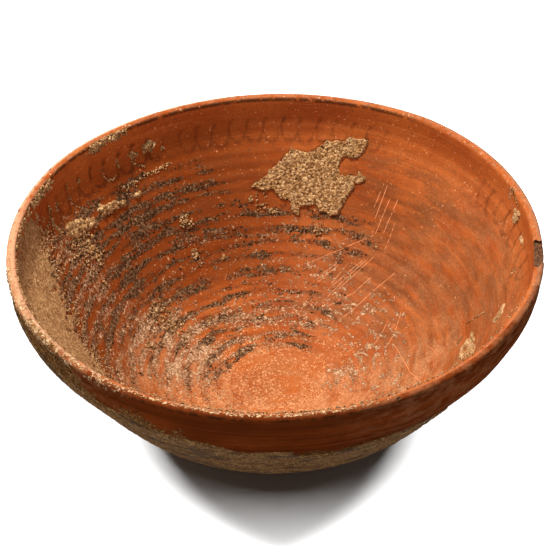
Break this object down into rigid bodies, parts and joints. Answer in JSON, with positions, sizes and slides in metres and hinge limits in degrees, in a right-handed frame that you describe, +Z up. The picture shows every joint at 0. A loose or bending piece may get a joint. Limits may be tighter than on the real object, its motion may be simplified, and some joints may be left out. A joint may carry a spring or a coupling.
{
  "type": "painted bowl",
  "caption": "Wide hand-thrown clay bowl with red slip, brown painted bands and hooks inside, a chipped lip and flakes of dried soil; it stands on a flat base.",
  "frame": {"origin": "centre of the flat base, on the surface that the bowl stands on", "axes": "+Z up along the bowl's axis of turning, +X towards the broken notch in the lip, +Y to the wall with the large soil flake"},
  "size_m": [0.2, 0.2, 0.078],
  "materials": {
    "slipped_clay": "matt red slip with worn brown paint",
    "pale_soil": "rough dried soil",
    "dark_soil": "rough dried soil, grey brown"
  },
  "bodies": {
    "root": {"bowl_body": "slipped_clay", "crust_back_wall": "pale_soil", "crust_left_wall": "pale_soil", "crust_left_spur": "pale_soil", "crust_left_bit": "pale_soil", "crust_left_crumb": "pale_soil", "crust_hook_dab": "pale_soil", "crust_rim_left": "pale_soil", "crust_rim_far_left": "pale_soil", "crust_right_lower": "pale_soil", "crust_right_upper": "pale_soil", "crust_right_rim": "pale_soil", "crust_right_dab": "pale_soil", "crust_outer_left": "dark_soil", "crust_outer_front": "dark_soil", "crust_outer_right": "dark_soil"}
  },
  "joints": []
}
